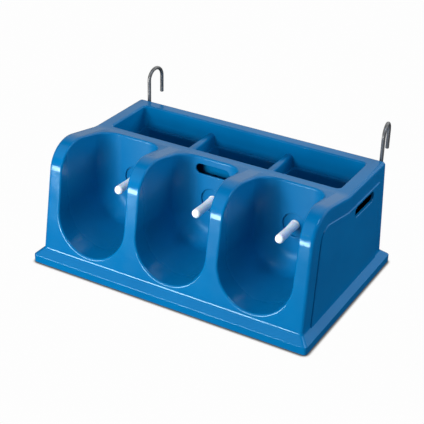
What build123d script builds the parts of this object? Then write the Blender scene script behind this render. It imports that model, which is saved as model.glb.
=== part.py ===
from build123d import *
import math
import os

# Three-bay teat feeder: a hollow rotomoulded body with three muzzle bays in front,
# three milk compartments on top behind them, a teat in each bay and two rail hooks.
# Millimetres. X runs along the feeder, -Y is the bay side, +Z is up.
# The origin is the centre of the footprint, on the floor.

# ---- body: overall ----
BODY_LENGTH = 772.0          # at floor level, before the end draft
BODY_DEPTH = 477.0           # at the top of the base flange
RIM_HEIGHT = 307.0           # flat top round the milk compartments
SKIN = 4.0                   # moulded wall thickness
END_DRAFT_DEG = 1.2
END_ROUND = 9.0

# ---- base flange ----
FLANGE_OUT = 20.0
FLANGE_EDGE_HEIGHT = 22.0
FLANGE_TOP = 39.0
FLANGE_CORNER = 9.0          # plan corner of the upright edge
FLANGE_EDGE_ROUND = 2.5
FLANGE_FILLET = 10.0
FLANGE_OVERLAP = 3.0         # the skirt runs on into the body by this much

# ---- hood over the bays, as a side profile ----
FRONT_LEAN_DEG = 8.7
BACK_LEAN_DEG = 2.2
HOOD_SLOPE_DEG = 10.8
HOOD_ROUND = 80.0
HOOD_FOOT_ROUND = 120.0
BACK_TOP_ROUND = 10.0

# ---- muzzle bays ----
BAY_PITCH = 240.0
BAY_HALF_WIDTH = 102.5       # at the front face
BAY_FLOOR = 53.0             # lowest point of the opening
BAY_BACK_Y = -12.0
BAY_DRAFT_DEG = 3.0
BAY_INNER_ROUND = 52.0
BAY_LIP_ROUND = 5.0
BAY_WIDTH_SPOT = 15.0        # the half width holds this far behind the front foot
BAY_RUN_OUT = 60.0           # the bay's air starts this far in front of the body

# ---- milk compartments ----
TANK_LENGTH = 680.0
TANK_FRONT_Y = 24.0
TANK_BACK_Y = 190.0
TANK_CORNER = 12.0
TANK_DRAFT_DEG = 3.0
TANK_RIM_ROUND = 6.0
DIVIDER_TOP = 276.0
DIVIDER_THICK = 20.0
DIVIDER_ROUND = 8.0
DIVIDER_DRAFT_DEG = 7.0
LEDGE_HEIGHT = 243.0
LEDGE_WIDTH = 6.0
POCKET_CORNER = 14.0
FLOOR_BACK = 182.0
FLOOR_FRONT = 160.0
FLOOR_ROUND = 8.0

# ---- hand slots through the outer skin: one in the middle bay, one in each end ----
BAY_SLOT_LENGTH = 100.0
END_SLOT_LENGTH = 118.0
SLOT_HEIGHT = 28.0
SLOT_LIP_ROUND = 2.0
BAY_SLOT_Z = 274.0
END_SLOT_Y = 91.0
END_SLOT_Z = 244.0

# ---- raised panel on each end ----
PANEL_PROUD = 3.0
PANEL_INSET = 42.0
PANEL_EDGE_ROUND = 2.4

# ---- teat, its holder and the hole for it ----
TEAT_HEIGHT = 189.0
TEAT_RADIUS = 12.0
TEAT_LENGTH = 92.0
TEAT_WALL = 2.6
TEAT_NECK_RADIUS = 11.0      # at the waist, between cuff and tip
TEAT_CUFF_ROUND = 3.0
TEAT_CUFF_FLAT = 10.5        # radius of the flat end that meets the holder's flange
TEAT_SLIT_LENGTH = 7.0
TEAT_SLIT_WIDTH = 0.6
SEAT_RADIUS = 33.0           # round recess in the bay's back wall
SEAT_DEPTH = 6.0
SEAT_ROUND = 2.5
HOLDER_RADIUS = 10.0         # M20 threaded tube
HOLDER_FLANGE_RADIUS = 13.0
HOLDER_FLANGE_THICK = 4.0
NOSE_RADIUS = 8.0            # the teat is pushed over this
NOSE_LENGTH = 20.0
HOLDER_BEVEL = 1.0
MILK_BORE_RADIUS = 3.5
CHAMBER_RADIUS = 6.5
THREAD_PITCH = 2.5
THREAD_DEPTH = 1.2
COLLAR_RADIUS = 18.0         # moulded tube that joins the two skins round the hole
TANK_BOSS_RADIUS = 24.0
TANK_BOSS_Y = 38.0
SEAL_RADIUS = 17.0
SEAL_THICK = 3.0
SEAL_EDGE_ROUND = 0.8
LOCK_NUT_FLATS = 32.0
LOCK_NUT_THICK = 10.0
HOLDER_TAIL = 5.0            # thread showing past the lock nut
FIT = 0.05                   # radial gap between parts that touch when assembled

# ---- non-return valve in each holder ----
VALVE_SEAT_BACK = 11.0       # from the tank wall's boss to the ball's seat
BALL_RADIUS = 5.0
BALL_TRAVEL = 3.0
BALL_GUIDE_GAP = 0.06
RIB_WIDTH = 1.4
RIB_SINK = 0.5               # each rib runs this far into the chamber wall
RETAINER_THICK = 2.0
RETAINER_RING = 1.2
RETAINER_BAR = 1.6

# ---- rail hooks at the back ----
HOOK_X = 360.0
ROD_RADIUS = 5.0
ROD_GAP = 0.08               # running gap between the rod and its rolled eye
PLATE_THICK = 3.0
PLATE_WIDTH = 60.0
PLATE_BOTTOM = 205.0
PLATE_TOP = 265.0
PAD_Y = 234.0                # flat moulded pad behind each hook plate
PAD_MARGIN = 6.0             # the pad shows this much above and inboard of the plate
PAD_DEPTH = 8.0
PAD_DRAFT_DEG = 10.0
HOOK_BEND_RADIUS = 30.0
HOOK_BEND_HEIGHT = 359.0
HOOK_TIP_HEIGHT = 308.0
HOOK_TURN_DEG = {"left": -4.0, "right": 9.0}    # how the loose hooks hang at rest
HOOK_END_CHAMFER = 0.8
PLATE_CORNER = 8.0
WASHER_RADIUS = 9.0
WASHER_THICK = 1.6
HOOK_NUT_FLATS = 16.0
HOOK_NUT_THICK = 10.0
NUT_COLLAR_THICK = 2.5       # plain collar that holds the lock nut's nylon ring
NUT_COLLAR_RADIUS = 7.2
ROD_TAIL = 3.0

# ---- hook plate screws and their moulded-in inserts ----
SCREW_RADIUS = 3.0
SCREW_LENGTH = 16.0
SCREW_HEAD_FLATS = 10.0
SCREW_HEAD_THICK = 4.0
SCREW_HOLE_GAP = 0.3
HEX_BEVEL = 0.12             # share of the width across flats that the corners lose
HEX_BEVEL_DEG = 30.0
SCREW_FROM_EYE = 42.0
SCREW_HEIGHTS = [218.0, 252.0]
INSERT_RADIUS = 4.5
INSERT_LENGTH = 14.0
INSERT_GROOVE = 0.7
INSERT_GROOVE_WIDTH = 2.0
INSERT_BOSS_RADIUS = 9.0
INSERT_BOSS_DEPTH = 22.0

# ---- vent in the underside ----
VENT_X = 0.0
VENT_Y = 120.0
VENT_RADIUS = 5.0
VENT_BOSS_RADIUS = 16.0
VENT_BOSS_HEIGHT = 9.0
VENT_RECESS_RADIUS = 10.0
VENT_RECESS_DEPTH = 3.0
PLUG_HEAD_THICK = 2.4
PLUG_HEAD_GAP = 0.5
PLUG_WALL = 2.0
PLUG_TAIL = 4.0              # shank showing past the boss
PLUG_BEAD = 0.9
PLUG_BEAD_WIDTH = 2.0
PLUG_BEAD_GAP = 0.3

# ---- worked out from the sizes above ----
BAYS = {"left": -BAY_PITCH, "middle": 0.0, "right": BAY_PITCH}
SIDES = {"left": -1, "right": 1}
HEADROOM = 400.0             # above everything, for cutters that open upwards
OVER = 1.0                   # cutters run on past a surface by this much
EYE_RADIUS = ROD_RADIUS + ROD_GAP + PLATE_THICK
STEM_Y = PAD_Y + EYE_RADIUS
SEAT_Y = BAY_BACK_Y + SEAT_DEPTH
NOSE_Y = SEAT_Y - HOLDER_FLANGE_THICK
HOLDER_END_Y = TANK_BOSS_Y + SEAL_THICK + LOCK_NUT_THICK + HOLDER_TAIL
VALVE_SEAT_Y = TANK_BOSS_Y - VALVE_SEAT_BACK
BALL_Y = VALVE_SEAT_Y - math.sqrt(BALL_RADIUS**2 - MILK_BORE_RADIUS**2) - FIT
RETAINER_Y = BALL_Y - BALL_TRAVEL - BALL_RADIUS - FIT


def side_profile(inset, foot=0.0):
    """Side view of the body as a face in the YZ plane, from height foot, pulled in by inset."""
    front_lean = math.tan(math.radians(FRONT_LEAN_DEG))
    back_lean = math.tan(math.radians(BACK_LEAN_DEG))
    slope = math.tan(math.radians(HOOD_SLOPE_DEG))
    front_at_floor = -BODY_DEPTH / 2 - front_lean * FLANGE_TOP
    back_at_floor = BODY_DEPTH / 2 + back_lean * FLANGE_TOP
    back_top = back_at_floor - back_lean * RIM_HEIGHT
    # the leaning front face and the sloping hood top meet at the hood corner
    corner_z = (RIM_HEIGHT - slope * front_at_floor) / (1 + slope * front_lean)
    corner_y = front_at_floor + front_lean * corner_z
    outline = make_face(
        Polyline(
            (front_at_floor + front_lean * foot, foot),
            (corner_y, corner_z),
            (0, RIM_HEIGHT),
            (back_top, RIM_HEIGHT),
            (back_at_floor - back_lean * foot, foot),
            close=True,
        )
    )
    for y, z, radius in (
        (corner_y, corner_z, HOOD_ROUND),
        (0, RIM_HEIGHT, HOOD_FOOT_ROUND),
        (back_top, RIM_HEIGHT, BACK_TOP_ROUND),
    ):
        corner = outline.vertices().sort_by_distance((y, z, 0))[0]
        outline = fillet(corner, radius)
    if inset:
        outline = offset(outline, -inset)
    return Plane.YZ * outline


def between_ends(profile, proud):
    """Run a side profile along the body, between end walls moved outwards by proud."""
    ends = Rectangle(BODY_LENGTH + 2 * proud, 4 * BODY_DEPTH)
    ends = extrude(ends, HEADROOM, taper=END_DRAFT_DEG)
    return extrude(profile, BODY_LENGTH, both=True) & ends


def end_faces(block):
    return block.faces().sort_by(Axis.X)[0], block.faces().sort_by(Axis.X)[-1]


def side_block(inset):
    """The body's outer block without flange or panels, pulled in by inset on every side."""
    block = between_ends(side_profile(inset), -inset)
    edges = ShapeList()
    for face in end_faces(block):
        edges += [edge for edge in face.edges() if edge.center().Z > inset + OVER]
    return fillet(edges, END_ROUND - inset)


def end_panels():
    """The two raised end panels, as one block through the body."""
    block = between_ends(side_profile(PANEL_INSET, foot=-2 * PANEL_INSET), PANEL_PROUD)
    edges = ShapeList()
    for face in end_faces(block):
        edges += [edge for edge in face.edges() if edge.center().Z > FLANGE_TOP]
    return fillet(edges, PANEL_EDGE_ROUND)


def base_flange():
    """Upright edge with a sloping skirt above it that runs up to the body's side."""
    plan = RectangleRounded(
        BODY_LENGTH + 2 * FLANGE_OUT, BODY_DEPTH + 2 * FLANGE_OUT, FLANGE_CORNER
    )
    # the skirt narrows past the body's side, so that the two meet in a clean line
    rise = (FLANGE_TOP - FLANGE_EDGE_HEIGHT) * (FLANGE_OUT + FLANGE_OVERLAP) / FLANGE_OUT
    narrow = RectangleRounded(
        BODY_LENGTH - 2 * FLANGE_OVERLAP, BODY_DEPTH - 2 * FLANGE_OVERLAP, END_ROUND
    )
    edge = extrude(plan, FLANGE_EDGE_HEIGHT)
    skirt_foot = Pos(0, 0, FLANGE_EDGE_HEIGHT) * plan
    skirt = loft([skirt_foot, Pos(0, 0, FLANGE_EDGE_HEIGHT + rise) * narrow], ruled=True)
    flange = edge + skirt
    low = [e for e in flange.edges() if e.bounding_box().max.Z < FLANGE_EDGE_HEIGHT + OVER]
    level = [e for e in low if e.bounding_box().size.Z < OVER]
    return fillet(level, FLANGE_EDGE_ROUND)


def bay_cutter(centre_x, grow=0.0):
    """Air inside one muzzle bay: U-shaped from the front, with a deep rounded back."""
    start_y = -BODY_DEPTH / 2 - BAY_RUN_OUT
    draft = math.tan(math.radians(BAY_DRAFT_DEG))
    half_width = BAY_HALF_WIDTH + grow + (BAY_WIDTH_SPOT + BAY_RUN_OUT) * draft
    mouth = Circle(half_width) + Pos(0, HEADROOM / 2) * Rectangle(2 * half_width, HEADROOM)
    mouth = Plane.XZ.offset(-start_y) * Pos(centre_x, BAY_FLOOR + BAY_HALF_WIDTH) * mouth
    cutter = extrude(mouth, start_y - BAY_BACK_Y - grow, taper=BAY_DRAFT_DEG)
    back = cutter.faces().sort_by(Axis.Y)[-1]
    inner_edges = [edge for edge in back.edges() if edge.center().Z < HEADROOM]
    return fillet(inner_edges, BAY_INNER_ROUND + grow)


def tank_divider(side, grow):
    """Wall between two milk compartments, rounded along its top."""
    thick = DIVIDER_THICK - 2 * grow
    height = DIVIDER_TOP - grow - LEDGE_HEIGHT + 2 * SKIN
    wall = Pos(side * BAY_PITCH / 2, 0, DIVIDER_TOP - grow) * Rectangle(thick, BODY_DEPTH)
    wall = extrude(wall, -height, taper=-DIVIDER_DRAFT_DEG)
    top = wall.faces().sort_by(Axis.Z)[-1]
    edges = [edge for edge in top.edges() if edge.length > BODY_DEPTH / 2]
    return fillet(edges, min(DIVIDER_ROUND, thick / 2 - 1))


def tank_pocket(centre_x, length, width, grow):
    """Lower part of one milk compartment, below the ledge, with a floor that falls to the front."""
    mid_y = (TANK_FRONT_Y + TANK_BACK_Y) / 2
    plan = RectangleRounded(length + 2 * grow, width + 2 * grow, POCKET_CORNER + grow)
    top = Pos(centre_x, mid_y, LEDGE_HEIGHT + SKIN) * plan
    # deep enough to be cut off by the sloping floor all over
    depth = LEDGE_HEIGHT + SKIN - FLOOR_FRONT + FLOOR_BACK - FLOOR_FRONT
    pocket = extrude(top, -depth, taper=TANK_DRAFT_DEG)
    slope_deg = math.degrees(math.atan2(FLOOR_BACK - FLOOR_FRONT, TANK_BACK_Y - TANK_FRONT_Y))
    middle_floor = (FLOOR_FRONT + FLOOR_BACK) / 2 - grow
    floor = Plane(Location((centre_x, mid_y, middle_floor), (slope_deg, 0, 0)))
    pocket = split(pocket, bisect_by=floor, keep=Keep.TOP)
    bottom = pocket.faces().sort_by(Axis.Z)[0]
    return fillet(bottom.edges(), FLOOR_ROUND + grow)


def tank_cutter(grow=0.0):
    """Air inside the three milk compartments: a shared top with dividers, and three pockets."""
    mid_y = (TANK_FRONT_Y + TANK_BACK_Y) / 2
    width = TANK_BACK_Y - TANK_FRONT_Y
    draft = math.tan(math.radians(TANK_DRAFT_DEG))
    depth = RIM_HEIGHT - LEDGE_HEIGHT
    # the cutter starts above the rim, where the tapered walls are wider apart
    above = 30.0
    spread = 2 * (above * draft + grow)
    corner = TANK_CORNER + spread / 2
    plan = RectangleRounded(TANK_LENGTH + spread, width + spread, corner)
    plan = Pos(0, mid_y, RIM_HEIGHT + above) * plan
    header = extrude(plan, -above - depth - grow, taper=TANK_DRAFT_DEG)
    for side in SIDES.values():
        header -= tank_divider(side, grow)
    # the pockets stand in from the walls by a ledge
    narrowing = 2 * (depth * draft + LEDGE_WIDTH)
    inner_end = BAY_PITCH / 2 + DIVIDER_THICK / 2
    outer_length = TANK_LENGTH / 2 - inner_end
    outer_x = (TANK_LENGTH / 2 + inner_end) / 2
    lengths = {-1: outer_length, 0: 2 * inner_end - 2 * DIVIDER_THICK, 1: outer_length}
    for side, length in lengths.items():
        header += tank_pocket(side * outer_x, length - narrowing, width - narrowing, grow)
    return header


def slot_cutters():
    """Hand slots through one skin: one in the middle bay's back wall, one in each end."""
    reach = 2 * (SKIN + PANEL_PROUD)
    bay_slot = Pos(0, BAY_SLOT_Z) * SlotOverall(BAY_SLOT_LENGTH, SLOT_HEIGHT)
    bay_slot = Plane.XZ.offset(-BAY_BACK_Y) * bay_slot
    cutters = [extrude(bay_slot, reach, both=True)]
    for side in SIDES.values():
        end_slot = Pos(END_SLOT_Y, END_SLOT_Z) * SlotOverall(END_SLOT_LENGTH, SLOT_HEIGHT)
        end_slot = Plane.YZ.offset(side * BODY_LENGTH / 2) * end_slot
        cutters.append(extrude(end_slot, reach, both=True))
    return cutters


def cut_and_round(shape, cutter, radius):
    """Cut, then round every edge that the cut made."""
    result = shape - cutter
    return fillet(new_edges(shape, cutter, combined=result), radius)


def along_y(x, z, start_y, end_y, radius):
    """Solid round bar along Y, from start_y to end_y."""
    return extrude(Plane.XZ.offset(-start_y) * Pos(x, z) * Circle(radius), start_y - end_y)


def upright(x, y, bottom, top, radius):
    """Solid round bar along Z."""
    return Pos(x, y, bottom) * extrude(Circle(radius), top - bottom)


def hook_pad(side):
    """Flat pad on the back wall behind one hook plate."""
    inner_x = HOOK_X - PLATE_WIDTH - PAD_MARGIN
    # the pad stops just short of the washer under the plate's eye
    bottom = PLATE_BOTTOM + OVER
    top = PLATE_TOP + PAD_MARGIN
    spot = Pos(side * (inner_x + HOOK_X) / 2, (bottom + top) / 2)
    face = Plane.XZ.offset(-PAD_Y) * spot * Rectangle(HOOK_X - inner_x, top - bottom)
    return extrude(face, PAD_DEPTH, taper=-PAD_DRAFT_DEG)


def screw_spots(side):
    """Centres (x, z) of the two screws in one hook plate."""
    return [(side * (HOOK_X - SCREW_FROM_EYE), z) for z in SCREW_HEIGHTS]


def body_shape():
    """Outside of the moulded body, before it is hollowed."""
    block = side_block(0)
    flange = base_flange()
    shape = block + flange
    foot = [edge for edge in new_edges(block, flange, combined=shape) if edge.center().Z > OVER]
    shape = fillet(foot, FLANGE_FILLET)
    shape += end_panels()
    for side in SIDES.values():
        shape += hook_pad(side)
    for x in BAYS.values():
        shape = cut_and_round(shape, bay_cutter(x), BAY_LIP_ROUND)
    shape = cut_and_round(shape, tank_cutter(), TANK_RIM_ROUND)
    for cutter in slot_cutters():
        shape = cut_and_round(shape, cutter, SLOT_LIP_ROUND)
    for x in BAYS.values():
        shape += along_y(x, TEAT_HEIGHT, BAY_BACK_Y + SKIN, TANK_BOSS_Y, TANK_BOSS_RADIUS)
        seat = along_y(x, TEAT_HEIGHT, BAY_BACK_Y - OVER, SEAT_Y, SEAT_RADIUS)
        shape = cut_and_round(shape, seat, SEAT_ROUND)
        shape -= along_y(x, TEAT_HEIGHT, SEAT_Y - OVER, TANK_BOSS_Y + OVER, HOLDER_RADIUS + FIT)
    return shape


def body_void():
    """Air inside the double wall, clear of the collars and bosses that join the skins."""
    void = side_block(SKIN)
    for x in BAYS.values():
        void -= bay_cutter(x, SKIN)
    void -= tank_cutter(SKIN)
    for x in BAYS.values():
        void -= along_y(x, TEAT_HEIGHT, BAY_BACK_Y, TANK_BOSS_Y + SKIN, COLLAR_RADIUS)
        void -= along_y(x, TEAT_HEIGHT, BAY_BACK_Y, SEAT_Y + SKIN, SEAT_RADIUS + SKIN)
    for side in SIDES.values():
        for x, z in screw_spots(side):
            void -= along_y(x, z, PAD_Y - INSERT_BOSS_DEPTH, PAD_Y, INSERT_BOSS_RADIUS)
    void -= upright(VENT_X, VENT_Y, 0, VENT_BOSS_HEIGHT, VENT_BOSS_RADIUS)
    return void


def feeder_body():
    body = body_shape() - body_void()
    for side in SIDES.values():
        for x, z in screw_spots(side):
            body -= along_y(x, z, PAD_Y - INSERT_LENGTH, PAD_Y + OVER, INSERT_RADIUS + FIT)
    body -= upright(VENT_X, VENT_Y, -OVER, VENT_BOSS_HEIGHT + OVER, VENT_RADIUS + FIT)
    body -= upright(VENT_X, VENT_Y, -OVER, VENT_RECESS_DEPTH, VENT_RECESS_RADIUS)
    return body


def vent_plug():
    """Push-in plug: a flat head in the recess and a shank with a bead behind the boss."""
    head_top = VENT_RECESS_DEPTH
    head_radius = VENT_RECESS_RADIUS - PLUG_HEAD_GAP
    shank_top = VENT_BOSS_HEIGHT + PLUG_TAIL
    bead_foot = VENT_BOSS_HEIGHT + PLUG_BEAD_GAP
    plug = upright(0, 0, head_top - PLUG_HEAD_THICK, head_top, head_radius)
    plug += upright(0, 0, head_top, shank_top, VENT_RADIUS)
    bead = upright(0, 0, bead_foot, bead_foot + PLUG_BEAD_WIDTH, VENT_RADIUS + PLUG_BEAD)
    plug += chamfer(bead.edges().sort_by(Axis.Z)[-1], PLUG_BEAD - FIT)
    plug -= upright(0, 0, head_top, shank_top + OVER, VENT_RADIUS - PLUG_WALL)
    return Pos(VENT_X, VENT_Y, 0) * plug


def turned(outline_points):
    """Solid of revolution about Y from (radius, y) points."""
    return revolve(make_face(Polyline(*outline_points, close=True)), Axis.Y)


def teat():
    """Rubber teat on its own axis: plain cuff over the nose, slightly fuller towards the tip."""
    tip_y = NOSE_Y - TEAT_LENGTH
    with BuildSketch() as outer:
        with BuildLine():
            cuff = Line((0, NOSE_Y), (TEAT_CUFF_FLAT, NOSE_Y))
            lip = RadiusArc(cuff @ 1, (TEAT_RADIUS, NOSE_Y - TEAT_CUFF_ROUND), TEAT_CUFF_ROUND)
            side = Spline(
                lip @ 1,
                (TEAT_NECK_RADIUS, NOSE_Y - TEAT_LENGTH / 3),
                (TEAT_RADIUS, tip_y + TEAT_RADIUS),
                tangents=((0, -1), (0, -1)),
            )
            dome = RadiusArc(side @ 1, (0, tip_y), TEAT_RADIUS)
            Line(dome @ 1, (0, NOSE_Y))
        make_face()
    body = revolve(outer.sketch, Axis.Y)
    cavity_radius = TEAT_NECK_RADIUS - TEAT_WALL
    cavity = along_y(0, 0, tip_y + TEAT_WALL, NOSE_Y, cavity_radius)
    cavity = fillet(cavity.edges().sort_by(Axis.Y)[0], cavity_radius - OVER)
    grip_start = NOSE_Y - NOSE_LENGTH - OVER
    grip = along_y(0, 0, grip_start, NOSE_Y + OVER, NOSE_RADIUS + FIT)
    waist = along_y(0, 0, grip_start, NOSE_Y + OVER, TEAT_RADIUS)
    body -= (cavity - waist) + grip
    # crossed slits through the tip
    slit = Plane.XZ.offset(OVER - tip_y) * Rectangle(TEAT_SLIT_LENGTH, TEAT_SLIT_WIDTH)
    slit = extrude(slit, -(TEAT_WALL + 2 * OVER))
    return body - slit - Rot(0, 90, 0) * slit


def teat_holder():
    """Threaded tube through the wall: flange, nose, valve chamber with four guide ribs."""
    outline = [(0, HOLDER_END_Y), (HOLDER_RADIUS - THREAD_DEPTH, HOLDER_END_Y)]
    crest_y = HOLDER_END_Y - THREAD_PITCH / 2
    while crest_y > TANK_BOSS_Y - 2 * THREAD_PITCH:
        outline.append((HOLDER_RADIUS, crest_y))
        outline.append((HOLDER_RADIUS - THREAD_DEPTH, crest_y - THREAD_PITCH / 2))
        crest_y -= THREAD_PITCH
    outline += [
        (HOLDER_RADIUS, crest_y),
        (HOLDER_RADIUS, SEAT_Y),
        (HOLDER_FLANGE_RADIUS, SEAT_Y),
        (HOLDER_FLANGE_RADIUS, NOSE_Y + HOLDER_BEVEL),
        (HOLDER_FLANGE_RADIUS - HOLDER_BEVEL, NOSE_Y),
        (NOSE_RADIUS, NOSE_Y),
        (NOSE_RADIUS, NOSE_Y - NOSE_LENGTH + 2 * HOLDER_BEVEL),
        (NOSE_RADIUS - HOLDER_BEVEL, NOSE_Y - NOSE_LENGTH),
        (0, NOSE_Y - NOSE_LENGTH),
    ]
    holder = turned(outline)
    holder -= along_y(0, 0, NOSE_Y - NOSE_LENGTH - OVER, VALVE_SEAT_Y, CHAMBER_RADIUS)
    holder -= along_y(0, 0, VALVE_SEAT_Y - OVER, HOLDER_END_Y + OVER, MILK_BORE_RADIUS)
    rib_length = VALVE_SEAT_Y - RETAINER_Y - FIT
    rib_inner = BALL_RADIUS + BALL_GUIDE_GAP
    rib_height = CHAMBER_RADIUS + RIB_SINK - rib_inner
    for angle in (45, 135, 225, 315):
        rib = Pos(rib_inner + rib_height / 2, VALVE_SEAT_Y - rib_length / 2, 0)
        rib = rib * Box(rib_height, rib_length, RIB_WIDTH)
        holder += Rot(0, angle, 0) * rib
    return holder


def valve_ball():
    return Pos(0, BALL_Y, 0) * Sphere(BALL_RADIUS)


def valve_retainer():
    """Ring with a cross bar that keeps the ball in the holder."""
    front = RETAINER_Y - RETAINER_THICK
    inner_radius = CHAMBER_RADIUS - RETAINER_RING
    ring = along_y(0, 0, front, RETAINER_Y, CHAMBER_RADIUS - FIT)
    ring -= along_y(0, 0, front - OVER, RETAINER_Y + OVER, inner_radius)
    bar = Box(2 * inner_radius + RETAINER_RING, RETAINER_THICK, RETAINER_BAR)
    bar = Pos(0, front + RETAINER_THICK / 2, 0) * bar
    return ring + bar + Rot(0, 90, 0) * bar


def seal_washer():
    back = TANK_BOSS_Y + SEAL_THICK
    seal = along_y(0, 0, TANK_BOSS_Y, back, SEAL_RADIUS)
    seal = fillet(seal.edges(), SEAL_EDGE_ROUND)
    return seal - along_y(0, 0, TANK_BOSS_Y - OVER, back + OVER, HOLDER_RADIUS + FIT)


def hex_block(flats, thick):
    """Hexagon prism with both faces chamfered, standing on the XY plane."""
    prism = extrude(RegularPolygon(flats / 2, 6, major_radius=False), thick)
    corner = flats / math.sqrt(3)
    bevel = HEX_BEVEL * flats
    drop = bevel * math.tan(math.radians(HEX_BEVEL_DEG))
    outline = Polyline(
        (0, 0),
        (corner - bevel, 0),
        (corner, drop),
        (corner, thick - drop),
        (corner - bevel, thick),
        (0, thick),
        close=True,
    )
    return prism & revolve(Plane.XZ * make_face(outline), Axis.Z)


def hex_nut(flats, thick, bore):
    return hex_block(flats, thick) - upright(0, 0, -OVER, thick + OVER, bore)


def lock_nut():
    nut = hex_nut(LOCK_NUT_FLATS, LOCK_NUT_THICK, HOLDER_RADIUS + FIT)
    return Pos(0, TANK_BOSS_Y + SEAL_THICK, 0) * Rot(-90, 0, 0) * nut


def hook(side_name):
    """Bent rod: threaded foot, stem, half-circle over the rail, short tip leg."""
    bottom = PLATE_BOTTOM - WASHER_THICK - HOOK_NUT_THICK - ROD_TAIL
    reach = 2 * HOOK_BEND_RADIUS
    with BuildLine(Plane.YZ) as path:
        stem = Line((0, bottom), (0, HOOK_BEND_HEIGHT))
        bend = RadiusArc(stem @ 1, (reach, HOOK_BEND_HEIGHT), HOOK_BEND_RADIUS)
        Line(bend @ 1, (reach, HOOK_TIP_HEIGHT))
    rod = sweep(Pos(0, 0, bottom) * Circle(ROD_RADIUS), path=path.line)
    ends = rod.faces().filter_by(GeomType.PLANE).edges()
    rod = chamfer(ends, HOOK_END_CHAMFER)
    turn = HOOK_TURN_DEG[side_name]
    return Pos(SIDES[side_name] * HOOK_X, STEM_Y, 0) * Rot(0, 0, turn) * rod


def hook_plate(side):
    """Plate with a rolled eye at its outer edge and two screw holes."""
    height = PLATE_TOP - PLATE_BOTTOM
    leaf = Pos(-PLATE_WIDTH / 2, PAD_Y + PLATE_THICK / 2, PLATE_BOTTOM + height / 2)
    leaf = leaf * Box(PLATE_WIDTH, PLATE_THICK, height)
    corners = leaf.edges().filter_by(Axis.Y).group_by(Axis.X)[0]
    plate = fillet(corners, PLATE_CORNER)
    eye = upright(0, STEM_Y, PLATE_BOTTOM, PLATE_TOP, EYE_RADIUS)
    plate += eye
    plate -= upright(0, STEM_Y, PLATE_BOTTOM - OVER, PLATE_TOP + OVER, ROD_RADIUS + ROD_GAP)
    if side < 0:
        plate = mirror(plate, Plane.YZ)
    plate = Pos(side * HOOK_X, 0, 0) * plate
    hole_radius = SCREW_RADIUS + SCREW_HOLE_GAP
    for x, z in screw_spots(side):
        plate -= along_y(x, z, PAD_Y - OVER, PAD_Y + PLATE_THICK + OVER, hole_radius)
    return plate


def screws(side):
    """Two hexagon-head screws through one hook plate."""
    face_y = PAD_Y + PLATE_THICK
    group = Part()
    for x, z in screw_spots(side):
        head = hex_block(SCREW_HEAD_FLATS, SCREW_HEAD_THICK)
        group += Pos(x, face_y, z) * Rot(-90, 0, 0) * head
        group += along_y(x, z, face_y - SCREW_LENGTH, face_y + OVER, SCREW_RADIUS - FIT)
    return group


def inserts(side):
    """Two threaded inserts moulded into the back wall behind one hook plate."""
    group = Part()
    for x, z in screw_spots(side):
        insert = along_y(x, z, PAD_Y - INSERT_LENGTH, PAD_Y, INSERT_RADIUS)
        insert -= along_y(x, z, PAD_Y - INSERT_LENGTH - OVER, PAD_Y + OVER, SCREW_RADIUS)
        start = PAD_Y - (INSERT_LENGTH + INSERT_GROOVE_WIDTH) / 2
        end = start + INSERT_GROOVE_WIDTH
        groove = along_y(x, z, start, end, INSERT_RADIUS + OVER)
        groove -= along_y(x, z, start, end, INSERT_RADIUS - INSERT_GROOVE)
        group += insert - groove
    return group


def hook_washer(side):
    """Flat washer that carries the rolled eye."""
    bottom = PLATE_BOTTOM - WASHER_THICK
    washer = upright(0, 0, bottom, PLATE_BOTTOM - FIT, WASHER_RADIUS)
    washer -= upright(0, 0, bottom - OVER, PLATE_BOTTOM + OVER, ROD_RADIUS + FIT)
    return Pos(side * HOOK_X, STEM_Y, 0) * washer


def hook_nut(side):
    """Lock nut on the threaded foot of one hook, with a round collar on its underside."""
    bore = ROD_RADIUS + FIT
    nut = hex_nut(HOOK_NUT_FLATS, HOOK_NUT_THICK - NUT_COLLAR_THICK, bore)
    collar = upright(0, 0, -NUT_COLLAR_THICK, OVER, NUT_COLLAR_RADIUS)
    collar -= upright(0, 0, -NUT_COLLAR_THICK - OVER, 2 * OVER, bore)
    foot = PLATE_BOTTOM - WASHER_THICK - HOOK_NUT_THICK + NUT_COLLAR_THICK
    return Pos(side * HOOK_X, STEM_Y, foot) * (nut + collar)


parts = {"feeder_body": feeder_body(), "base_vent_plug": vent_plug()}
teat_parts = {
    "teat": teat(),
    "teat_holder": teat_holder(),
    "valve_ball": valve_ball(),
    "valve_retainer": valve_retainer(),
    "seal_washer": seal_washer(),
    "lock_nut": lock_nut(),
}
for bay, x in BAYS.items():
    for name, shape in teat_parts.items():
        parts[f"{name}_{bay}"] = Pos(x, 0, TEAT_HEIGHT) * shape
for side_name, side in SIDES.items():
    parts[f"hook_{side_name}"] = hook(side_name)
    parts[f"hook_plate_{side_name}"] = hook_plate(side)
    parts[f"hook_plate_screws_{side_name}"] = screws(side)
    parts[f"threaded_inserts_{side_name}"] = inserts(side)
    parts[f"hook_washer_{side_name}"] = hook_washer(side)
    parts[f"hook_lock_nut_{side_name}"] = hook_nut(side)

os.makedirs("parts", exist_ok=True)
for name, shape in parts.items():
    export_step(shape, f"parts/{name}.step")
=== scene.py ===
import math

import bpy
from mathutils import Matrix, Vector


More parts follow.
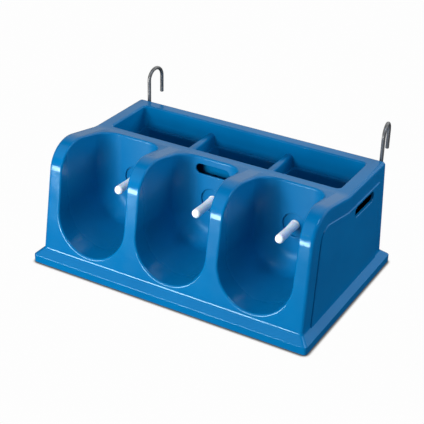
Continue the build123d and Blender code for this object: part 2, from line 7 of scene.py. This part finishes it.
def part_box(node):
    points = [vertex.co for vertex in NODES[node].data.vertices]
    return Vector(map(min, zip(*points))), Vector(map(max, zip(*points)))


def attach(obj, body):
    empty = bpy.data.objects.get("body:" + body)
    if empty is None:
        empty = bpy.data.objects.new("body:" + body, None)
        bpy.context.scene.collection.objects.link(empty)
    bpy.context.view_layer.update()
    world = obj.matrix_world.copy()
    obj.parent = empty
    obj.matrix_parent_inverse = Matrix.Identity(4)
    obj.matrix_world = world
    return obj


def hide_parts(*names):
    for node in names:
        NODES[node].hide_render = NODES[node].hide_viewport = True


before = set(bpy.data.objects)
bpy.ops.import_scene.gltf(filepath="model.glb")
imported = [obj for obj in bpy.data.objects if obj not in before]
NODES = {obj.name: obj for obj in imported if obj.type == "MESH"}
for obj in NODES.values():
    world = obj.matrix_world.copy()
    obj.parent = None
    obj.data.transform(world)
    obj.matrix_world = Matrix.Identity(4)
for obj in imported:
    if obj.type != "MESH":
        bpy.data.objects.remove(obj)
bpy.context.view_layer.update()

# ---- camera, at the photograph's viewing angle ----
CAMERA_AZIMUTH = 29.513      # degrees round from the front, towards +X
CAMERA_ELEVATION = 28.872
CAMERA_ROLL = 1.454
CAMERA_DISTANCE = 2.911      # metres
CAMERA_TARGET = Vector((0, 0, 0.153))
CAMERA_LENS = 93.55          # millimetres
SENSOR_WIDTH = 36.0          # millimetres
CAMERA_SHIFT = (-0.00453, -0.00166)
CAMERA_CLIP = (0.1, 100.0)

# ---- light ----
WHITE = (1.0, 1.0, 1.0)
COOL = (0.82, 0.95, 1.18)
LIGHTS = {
    # azimuth, elevation, distance, (width, height), watts, colour, lights matt, seen in shiny
    "key": (-17, 9, 2.2, (0.4, 0.5), 33, WHITE, True, False),
    "glint": (-25, -2, 3.0, (1.5, 0.62), 78, WHITE, False, True),
    "canopy": (-44, 45, 3.0, (3.0, 2.0), 10, WHITE, False, True),
    "main": (-13, 22, 3.0, (1.2, 0.4), 84, WHITE, True, False),
    "top right": (73, 60, 3.0, (0.9, 0.9), 16, COOL, True, True),
    "side": (93, 16, 3.0, (1.5, 1.0), 21, COOL, True, False),
    "soft top": (-5, 55, 3.0, (2.0, 2.0), 13, COOL, True, False),
    "back": (155, 34, 3.0, (3.0, 1.5), 108, WHITE, True, False),
}
FILL_GLOW = 0.05             # even light from all round
FILL_COLOUR = (0.76, 0.92, 1.2)
ROOM_GLOW = 0.012            # what the plastic mirrors in front of it
WALL_GLOW = 0.72             # and behind it
WALL_START = (0.15, 0.6)     # how far the wall reaches round to the sides
WALL_FOOT = (0.0, 0.12)      # how its lower edge fades in
SEEN_WHITE = 0.985           # the paper and the air behind it, as the camera sees them
FLOOR_SIZE = 60.0            # metres
FLOOR_DROP = 0.0005          # the paper lies just under the object
PAPER = 0.35                 # grey that the paper bounces back onto the object
PAPER_CLOUD = 0.02           # how far that grey drifts up
CONTACT_REACH = 0.012        # how far out the contact shadow reaches, in metres
CONTACT_OPEN = (0.5, 0.95)   # open share of the sky, from full contact shadow to none
CONTACT_DARK = 0.1           # how bright the paper is where the shadow is full

# ---- the bays, measured on the frame, in metres ----
BAYS = ("left", "middle", "right")
BAY_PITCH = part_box("teat_right")[0].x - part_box("teat_middle")[0].x
BODY_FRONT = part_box("feeder_body")[0].y

# ---- wear and moulding marks, in metres ----
BAY_DULLING = 0.2            # roughness added where muzzles rub the bowls
DULL_FROM = (BODY_FRONT + 0.05, BODY_FRONT + 0.10)   # where the dulling fades in, going back
DULL_TO = (-0.008, 0.0)      # and out again, at the bowl's back wall
DULL_SIDE = (0.100, 0.106)   # and out sideways, from the bay's middle
BALL_FLASH = 0.00006         # how far the flash line stands up
BALL_FLASH_WIDTH = 0.00012
BALL_GATE = 0.00015          # how much the gate mark is cut back
BALL_RINGS = 48
BALL_SIDES = 64


# ---- small kit for node materials ----
class Surface:
    """A node material being put together round its Principled BSDF."""

    def __init__(self, name):
        self.material = bpy.data.materials.new(name)
        self.material.use_nodes = True
        self.tree = self.material.node_tree
        self.bsdf = self.tree.nodes["Principled BSDF"]
        self.place = self.add("ShaderNodeTexCoord").outputs["Object"]

    def add(self, kind, inputs=None, **settings):
        node = self.tree.nodes.new(kind)
        for name, value in settings.items():
            setattr(node, name, value)
        for name, value in (inputs or {}).items():
            self.set(node.inputs[name], value)
        return node

    def set(self, socket, value):
        """Give a socket a plain value, or join it to another node's output."""
        if isinstance(value, bpy.types.NodeSocket):
            self.tree.links.new(value, socket)
        else:
            socket.default_value = value

    def noise(self, size, detail=2.0, stretch=(1, 1, 1)):
        """Noise between 0 and 1 with features about size metres across."""
        place = self.add("ShaderNodeMapping", {"Vector": self.place, "Scale": stretch})
        inputs = {"Vector": place.outputs[0], "Scale": 1 / size, "Detail": detail}
        return self.add("ShaderNodeTexNoise", inputs).outputs["Fac"]

    def cells(self, size):
        """Distance to the nearest of many scattered points, in cell sizes."""
        inputs = {"Vector": self.place, "Scale": 1 / size}
        return self.add("ShaderNodeTexVoronoi", inputs).outputs["Distance"]

    def ramp(self, value, low, high, to_low=0.0, to_high=1.0):
        """Map low..high smoothly to to_low..to_high, clamped."""
        inputs = {
            "Value": value,
            "From Min": low,
            "From Max": high,
            "To Min": to_low,
            "To Max": to_high,
        }
        return self.add("ShaderNodeMapRange", inputs, interpolation_type="SMOOTHSTEP").outputs[0]

    def math(self, operation, first, second=0.0):
        node = self.add("ShaderNodeMath", operation=operation)
        self.set(node.inputs[0], first)
        self.set(node.inputs[1], second)
        return node.outputs[0]

    def mix(self, share, first, second):
        """Blend from the first colour to the second by share."""
        node = self.add("ShaderNodeMix", data_type="RGBA")
        sockets = (node.inputs[0], node.inputs[6], node.inputs[7])
        for socket, value in zip(sockets, (share, first, second)):
            self.set(socket, value)
        return node.outputs[2]

    def bay_offset(self):
        """Distance across from the middle of the nearest bay, in metres."""
        across = self.add("ShaderNodeSeparateXYZ", {"Vector": self.place}).outputs[0]
        pitches = self.math("DIVIDE", across, BAY_PITCH)
        nearest = self.math("ROUND", pitches)
        bay = self.math("MINIMUM", self.math("MAXIMUM", nearest, -1.0), 1.0)
        offset = self.math("MULTIPLY", self.math("SUBTRACT", pitches, bay), BAY_PITCH)
        return self.math("ABSOLUTE", offset)

    def in_bay(self):
        """1 inside the muzzle bays, 0 on the posts, the front and behind."""
        split = self.add("ShaderNodeSeparateXYZ", {"Vector": self.place}).outputs
        deep = self.ramp(split[1], *DULL_FROM)
        clear = self.ramp(split[1], *DULL_TO, 1.0, 0.0)
        inside = self.ramp(self.bay_offset(), *DULL_SIDE, 1.0, 0.0)
        return self.math("MULTIPLY", self.math("MULTIPLY", deep, clear), inside)

    def bump(self, height, depth, below=None):
        """Raise the surface by height times depth metres, over an earlier bump."""
        inputs = {"Height": height, "Distance": depth, "Strength": 1.0}
        if below is not None:
            inputs["Normal"] = below
        return self.add("ShaderNodeBump", inputs).outputs[0]

    def edges(self, radius):
        """1 where the surface turns sharply within radius, 0 where it is flat."""
        soft = self.add("ShaderNodeBevel", {"Radius": radius}, samples=4).outputs[0]
        true_normal = self.add("ShaderNodeNewGeometry").outputs["True Normal"]
        turn = self.add("ShaderNodeVectorMath", operation="DOT_PRODUCT")
        self.set(turn.inputs[0], soft)
        self.set(turn.inputs[1], true_normal)
        return self.ramp(turn.outputs["Value"], 0.98, 0.8)

    def finish(self, **inputs):
        for name, value in inputs.items():
            self.set(self.bsdf.inputs[name.replace("_", " ")], value)
        return self.material


def grey(level):
    return (level, level, level, 1)


# ---- materials ----
def body_plastic():
    """Blue rotomoulded polyethylene: pebble, slow waviness, fine scuffs, and paler edges that are
    partly rubbed wear and partly a painted sheen.
    """
    surface = Surface("body_plastic")
    cloud = surface.ramp(surface.noise(0.12, 3.0), 0.3, 0.7)
    colour = surface.mix(cloud, (0.0002, 0.101, 0.260, 1), (0.0004, 0.112, 0.279, 1))
    speckle = surface.ramp(surface.noise(0.0016, 1.0), 0.5, 0.78, 0.0, 0.10)
    colour = surface.mix(speckle, colour, (0.002, 0.125, 0.29, 1))
    # paler colour in patches along the edges: partly rubbed wear, partly a painted sheen that
    # lightens the edges
    patches = surface.ramp(surface.noise(0.03, 4.0), 0.42, 0.66, 0.03, 0.28)
    edge_wear_and_sheen = surface.math("MULTIPLY", surface.edges(0.004), patches)
    colour = surface.mix(edge_wear_and_sheen, colour, (0.05, 0.18, 0.32, 1))
    scratch = surface.ramp(surface.noise(0.004, 3.0, (0.12, 1.0, 1.7)), 0.66, 0.74, 0.0, 0.08)
    rough = surface.ramp(surface.noise(0.05, 4.0), 0.3, 0.7, 0.13, 0.17)
    rough = surface.math("ADD", rough, scratch)
    rough = surface.math("ADD", rough, surface.math("MULTIPLY", surface.in_bay(), BAY_DULLING))
    rough = surface.math("ADD", rough, surface.math("MULTIPLY", edge_wear_and_sheen, 0.15))
    wave = surface.bump(surface.noise(0.07, 1.0), 0.0005)
    pebble = surface.bump(surface.cells(0.0028), 0.00003, wave)
    grain = surface.bump(surface.noise(0.0011), 0.00004, pebble)
    return surface.finish(
        Base_Color=colour,
        Roughness=rough,
        Normal=grain,
        IOR=1.5,
        Specular_Tint=(0.6, 0.9, 1.0, 1),
    )


def teat_rubber():
    """Natural white rubber: milky, slightly yellowed in patches, with two mould seams."""
    surface = Surface("teat_rubber")
    cloud = surface.ramp(surface.noise(0.018, 4.0), 0.35, 0.65)
    colour = surface.mix(cloud, grey(0.93), (0.96, 0.96, 0.95, 1))
    stain = surface.ramp(surface.noise(0.0012), 0.55, 0.8, 0.0, 0.2)
    colour = surface.mix(stain, colour, (0.80, 0.76, 0.68, 1))
    seam = surface.ramp(surface.bay_offset(), 0.0003, 0.0009, 1.0, 0.0)
    rough = surface.ramp(surface.noise(0.008, 3.0), 0.3, 0.7, 0.34, 0.46)
    fine = surface.bump(surface.noise(0.0009), 0.00002, surface.bump(seam, 0.00015))
    return surface.finish(
        Base_Color=colour,
        Roughness=rough,
        Normal=fine,
        Subsurface_Weight=0.3,
        Subsurface_Scale=0.006,
    )


def moulded(name, low, high, roughness, flow=0.02, fleck=None):
    """Injection-moulded plastic: flow marks, fine orange peel, specks and worn edges."""
    surface = Surface(name)
    marks = surface.ramp(surface.noise(flow, 4.0, (1.0, 0.3, 1.0)), 0.35, 0.65)
    colour = surface.mix(marks, low, high)
    if fleck is not None:
        specks = surface.ramp(surface.noise(0.0008, 1.0), 0.62, 0.72, 0.0, 0.5)
        colour = surface.mix(specks, colour, fleck)
    worn = surface.math("MULTIPLY", surface.edges(0.0008), 0.35)
    colour = surface.mix(worn, colour, surface.mix(0.5, high, grey(0.5)))
    spread = 0.06
    gloss = surface.noise(flow / 3, 3.0)
    rough = surface.ramp(gloss, 0.3, 0.7, roughness - spread, roughness + spread)
    grain = surface.bump(surface.noise(0.0005), 0.00002)
    peel = surface.bump(surface.cells(0.0014), 0.00003, grain)
    return surface.finish(Base_Color=colour, Roughness=rough, Normal=peel)


def drawn_steel():
    """Zinc-plated round bar: lengthwise drawing lines under a cloudy, slightly patchy plating."""
    surface = Surface("hook_steel")
    lines = surface.noise(0.0007, 3.0, (1.0, 1.0, 0.03))
    colour = surface.mix(surface.ramp(lines, 0.35, 0.65), grey(0.20), (0.30, 0.30, 0.29, 1))
    patch = surface.ramp(surface.noise(0.012, 4.0), 0.5, 0.68, 0.0, 0.45)
    colour = surface.mix(patch, colour, (0.16, 0.16, 0.155, 1))
    rough = surface.ramp(lines, 0.3, 0.7, 0.28, 0.38)
    rough = surface.math("ADD", rough, surface.math("MULTIPLY", patch, 0.35))
    fine = surface.bump(lines, 0.00004)
    return surface.finish(Base_Color=colour, Roughness=rough, Metallic=0.7, Normal=fine)


def spangled_steel():
    """Hot-dip galvanised sheet: flat crystals of differing grey, dull edges."""
    surface = Surface("plate_steel")
    crystal_size = 0.005
    inputs = {"Vector": surface.place, "Scale": 1 / crystal_size}
    crystal = surface.add("ShaderNodeTexVoronoi", inputs).outputs["Color"]
    shade = surface.add("ShaderNodeSeparateColor", {"Color": crystal}).outputs[0]
    colour = surface.mix(shade, (0.34, 0.35, 0.36, 1), (0.52, 0.53, 0.54, 1))
    colour = surface.mix(surface.math("MULTIPLY", surface.edges(0.001), 0.5), colour, grey(0.30))
    rough = surface.ramp(shade, 0.0, 1.0, 0.32, 0.52)
    fine = surface.bump(surface.noise(0.0008), 0.00002, surface.bump(shade, 0.00002))
    return surface.finish(Base_Color=colour, Roughness=rough, Metallic=0.55, Normal=fine)


def turned_metal(name, low, high, roughness):
    """Turned or stamped metal: fine rings, tarnish in patches, brighter rubbed edges."""
    surface = Surface(name)
    rings = surface.noise(0.0003, 1.0, (0.05, 1.0, 1.0))
    colour = surface.mix(surface.ramp(surface.noise(0.004, 4.0), 0.35, 0.65), low, high)
    tarnish = surface.ramp(surface.noise(0.009, 4.0), 0.52, 0.7, 0.0, 0.5)
    colour = surface.mix(tarnish, colour, surface.mix(0.6, low, (0.08, 0.06, 0.05, 1)))
    colour = surface.mix(surface.math("MULTIPLY", surface.edges(0.0006), 0.6), colour, high)
    rough = surface.ramp(rings, 0.3, 0.7, roughness, roughness + 0.1)
    rough = surface.math("ADD", rough, surface.math("MULTIPLY", tarnish, 0.3))
    fine = surface.bump(rings, 0.00003)
    return surface.finish(Base_Color=colour, Roughness=rough, Metallic=0.75, Normal=fine)


def seal_rubber():
    """Black nitrile: dusty bloom, fine open grain and a moulding flash on the edges."""
    surface = Surface("seal_rubber")
    bloom = surface.ramp(surface.noise(0.006, 5.0), 0.45, 0.75)
    colour = surface.mix(bloom, (0.012, 0.012, 0.013, 1), (0.04, 0.04, 0.042, 1))
    colour = surface.mix(surface.math("MULTIPLY", surface.edges(0.0006), 0.4), colour, grey(0.09))
    rough = surface.ramp(bloom, 0.0, 1.0, 0.5, 0.72)
    fine = surface.bump(surface.noise(0.0004, 3.0), 0.00004)
    return surface.finish(Base_Color=colour, Roughness=rough, Normal=fine)


SCREW_ZINC = turned_metal("screw_steel", (0.55, 0.56, 0.56, 1), (0.72, 0.72, 0.70, 1), 0.24)
BRASS = turned_metal("insert_brass", (0.60, 0.40, 0.16, 1), (0.74, 0.54, 0.26, 1), 0.3)
HOLDER_WHITE = moulded("holder_plastic", (0.66, 0.66, 0.63, 1), (0.74, 0.74, 0.71, 1), 0.38)
BALL_WHITE = moulded(
    "ball_plastic",
    low=(0.76, 0.76, 0.75, 1),
    high=(0.85, 0.85, 0.84, 1),
    roughness=0.2,
    flow=0.004,
    fleck=(0.6, 0.6, 0.58, 1),
)
PLUG_BLACK = moulded(
    "plug_plastic",
    low=(0.016, 0.016, 0.018, 1),
    high=(0.03, 0.03, 0.033, 1),
    roughness=0.5,
    flow=0.01,
    fleck=grey(0.06),
)
NUT_BLACK = moulded(
    "nut_plastic",
    low=(0.035, 0.036, 0.04, 1),
    high=(0.06, 0.06, 0.066, 1),
    roughness=0.42,
    flow=0.012,
    fleck=grey(0.1),
)
# each node takes the finish of the longest name here that its own name starts with
FINISHES = {
    "feeder_body": body_plastic(),
    "base_vent_plug": PLUG_BLACK,
    "teat": teat_rubber(),
    "teat_holder": HOLDER_WHITE,
    "valve_ball": BALL_WHITE,
    "valve_retainer": HOLDER_WHITE,
    "seal_washer": seal_rubber(),
    "lock_nut": NUT_BLACK,
    "hook": drawn_steel(),
    "hook_plate": spangled_steel(),
    "hook_plate_screws": SCREW_ZINC,
    "hook_washer": SCREW_ZINC,
    "hook_lock_nut": SCREW_ZINC,
    "threaded_inserts": BRASS,
}
for name, node in NODES.items():
    longest = max((stem for stem in FINISHES if name.startswith(stem)), key=len)
    node.data.materials.clear()
    node.data.materials.append(FINISHES[longest])


# ---- valve balls ----
def ball_mesh(name, centre, radius):
    """Ball built of level rings, swollen at its middle and cut flat at its top."""
    points = []
    for ring in range(1, BALL_RINGS):
        polar = math.pi * ring / BALL_RINGS
        flash = BALL_FLASH * math.exp(-((math.cos(polar) * radius / BALL_FLASH_WIDTH) ** 2))
        height = min(radius * math.cos(polar), radius - BALL_GATE)
        out = (radius - BALL_FLASH + flash) * math.sin(polar)
        for side in range(BALL_SIDES):
            turn = math.tau * side / BALL_SIDES
            points.append(centre + Vector((out * math.cos(turn), out * math.sin(turn), height)))
    top, bottom = len(points), len(points) + 1
    lowest_ring = top - BALL_SIDES
    points.append(centre + Vector((0, 0, radius - BALL_GATE)))
    points.append(centre - Vector((0, 0, radius)))
    faces = []
    for side in range(BALL_SIDES):
        after = (side + 1) % BALL_SIDES
        for start in range(0, lowest_ring, BALL_SIDES):
            below = start + BALL_SIDES
            faces.append((start + side, below + side, below + after, start + after))
        faces.append((top, side, after))
        faces.append((bottom, lowest_ring + after, lowest_ring + side))
    mesh = bpy.data.meshes.new(name)
    mesh.from_pydata(points, [], faces)
    mesh.shade_smooth()
    return mesh


def moulded_ball(bay):
    """Two-part moulded ball: a fine flash line round its middle and a small flat gate mark."""
    low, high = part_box(f"valve_ball_{bay}")
    mesh = ball_mesh(f"ball_{bay}", (low + high) / 2, (high.x - low.x) / 2)
    mesh.materials.append(BALL_WHITE)
    ball = bpy.data.objects.new(f"moulded_ball_{bay}", mesh)
    bpy.context.scene.collection.objects.link(ball)
    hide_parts(f"valve_ball_{bay}")
    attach(ball, f"{bay}_valve_ball")


for bay in BAYS:
    moulded_ball(bay)


# ---- stage ----
def sky():
    """White to the camera, a soft even fill, and for reflections a white wall behind the object."""
    world = bpy.data.worlds.new("studio")
    bpy.context.scene.world = world
    world.use_nodes = True
    world.cycles.sampling_method = "NONE"
    tree = world.node_tree

    def join(kind, *inputs, **settings):
        node = tree.nodes.new(kind)
        for name, value in settings.items():
            setattr(node, name, value)
        for index, value in inputs:
            if isinstance(value, bpy.types.NodeSocket):
                tree.links.new(value, node.inputs[index])
            else:
                node.inputs[index].default_value = value
        return node.outputs

    def step(value, low, high):
        spec = (("Value", value), ("From Min", low), ("From Max", high))
        return join("ShaderNodeMapRange", *spec, interpolation_type="SMOOTHSTEP")[0]

    path = join("ShaderNodeLightPath")
    ray = join("ShaderNodeSeparateXYZ", (0, join("ShaderNodeTexCoord")["Generated"]))
    behind = step(ray["Y"], *WALL_START)
    above = step(ray["Z"], *WALL_FOOT)
    wall = join("ShaderNodeMath", (0, behind), (1, above), operation="MULTIPLY")[0]
    mirrored = join("ShaderNodeMix", (0, wall), (2, ROOM_GLOW), (3, WALL_GLOW))[0]
    lit = join("ShaderNodeMix", (0, path["Is Glossy Ray"]), (2, FILL_GLOW), (3, mirrored))[0]
    seen = join("ShaderNodeMix", (0, path["Is Camera Ray"]), (2, lit), (3, SEEN_WHITE))[0]
    tree.links.new(seen, tree.nodes["Background"].inputs["Strength"])
    rays = (0, path["Is Camera Ray"]), (1, path["Is Glossy Ray"])
    neutral = join("ShaderNodeMath", *rays, operation="ADD")[0]
    tints = (0, neutral), (6, (*FILL_COLOUR, 1)), (7, (*WHITE, 1))
    colour = join("ShaderNodeMix", *tints, data_type="RGBA")[2]
    tree.links.new(colour, tree.nodes["Background"].inputs["Color"])


def direction(azimuth, elevation):
    """Unit vector from the object towards a point at these angles, in degrees."""
    round_z, rise = math.radians(azimuth), math.radians(elevation)
    level = math.cos(rise)
    return Vector((math.sin(round_z) * level, -math.cos(round_z) * level, math.sin(rise)))


def softbox(name, azimuth, elevation, distance, size, power, colour, lights, glints):
    """Area light aimed at the object's middle from the given direction."""
    data = bpy.data.lights.new(name, "AREA")
    data.shape = "RECTANGLE"
    data.size, data.size_y = size
    data.energy = power
    data.color = colour
    light = bpy.data.objects.new(name, data)
    out = direction(azimuth, elevation)
    light.location = CAMERA_TARGET + out * distance
    light.rotation_mode = "QUATERNION"
    light.rotation_quaternion = out.to_track_quat("Z", "Y")
    light.visible_diffuse = lights
    light.visible_glossy = glints
    light.visible_camera = False
    bpy.context.scene.collection.objects.link(light)


def floor():
    """Seamless white paper that shows only a contact shadow."""
    mesh = bpy.data.meshes.new("floor")
    half = FLOOR_SIZE / 2
    signs = ((-1, -1), (1, -1), (1, 1), (-1, 1))
    corners = [(across * half, along * half, -FLOOR_DROP) for across, along in signs]
    mesh.from_pydata(corners, [], [(0, 1, 2, 3)])
    plane = bpy.data.objects.new("floor", mesh)
    bpy.context.scene.collection.objects.link(plane)
    surface = Surface("floor_paper")
    tone = surface.mix(surface.noise(0.4), grey(PAPER), grey(PAPER + PAPER_CLOUD))
    paper = surface.finish(Base_Color=tone, Roughness=0.9)
    sky_seen = surface.add("ShaderNodeAmbientOcclusion", {"Distance": CONTACT_REACH}, samples=16)
    strength = surface.ramp(sky_seen.outputs["AO"], *CONTACT_OPEN, CONTACT_DARK, SEEN_WHITE)
    glow = surface.add("ShaderNodeEmission", {"Strength": strength})
    seen = surface.add("ShaderNodeLightPath").outputs["Is Camera Ray"]
    both = surface.add("ShaderNodeMixShader")
    for socket, value in zip(both.inputs, (seen, surface.bsdf.outputs[0], glow.outputs[0])):
        surface.set(socket, value)
    surface.set(surface.tree.nodes["Material Output"].inputs["Surface"], both.outputs[0])
    paper.cycles.emission_sampling = "NONE"
    mesh.materials.append(paper)
    # part of the glint light hangs below the floor's level
    plane.visible_glossy = False
    plane.visible_shadow = False


def camera():
    data = bpy.data.cameras.new("camera")
    data.lens = CAMERA_LENS
    data.sensor_width = SENSOR_WIDTH
    data.shift_x, data.shift_y = CAMERA_SHIFT
    cam = bpy.data.objects.new("camera", data)
    back = direction(CAMERA_AZIMUTH, CAMERA_ELEVATION)
    right = direction(CAMERA_AZIMUTH + 90, 0)
    up = back.cross(right)
    roll = math.radians(CAMERA_ROLL)
    x_axis = math.cos(roll) * right + math.sin(roll) * up
    y_axis = math.cos(roll) * up - math.sin(roll) * right
    turn = Matrix((x_axis, y_axis, back)).transposed()
    cam.matrix_world = Matrix.Translation(CAMERA_TARGET + back * CAMERA_DISTANCE) @ turn.to_4x4()
    data.clip_start, data.clip_end = CAMERA_CLIP
    bpy.context.scene.collection.objects.link(cam)
    bpy.context.scene.camera = cam


sky()
for name, setting in LIGHTS.items():
    softbox(name, *setting)
floor()
camera()
bpy.context.scene.view_settings.view_transform = "Standard"
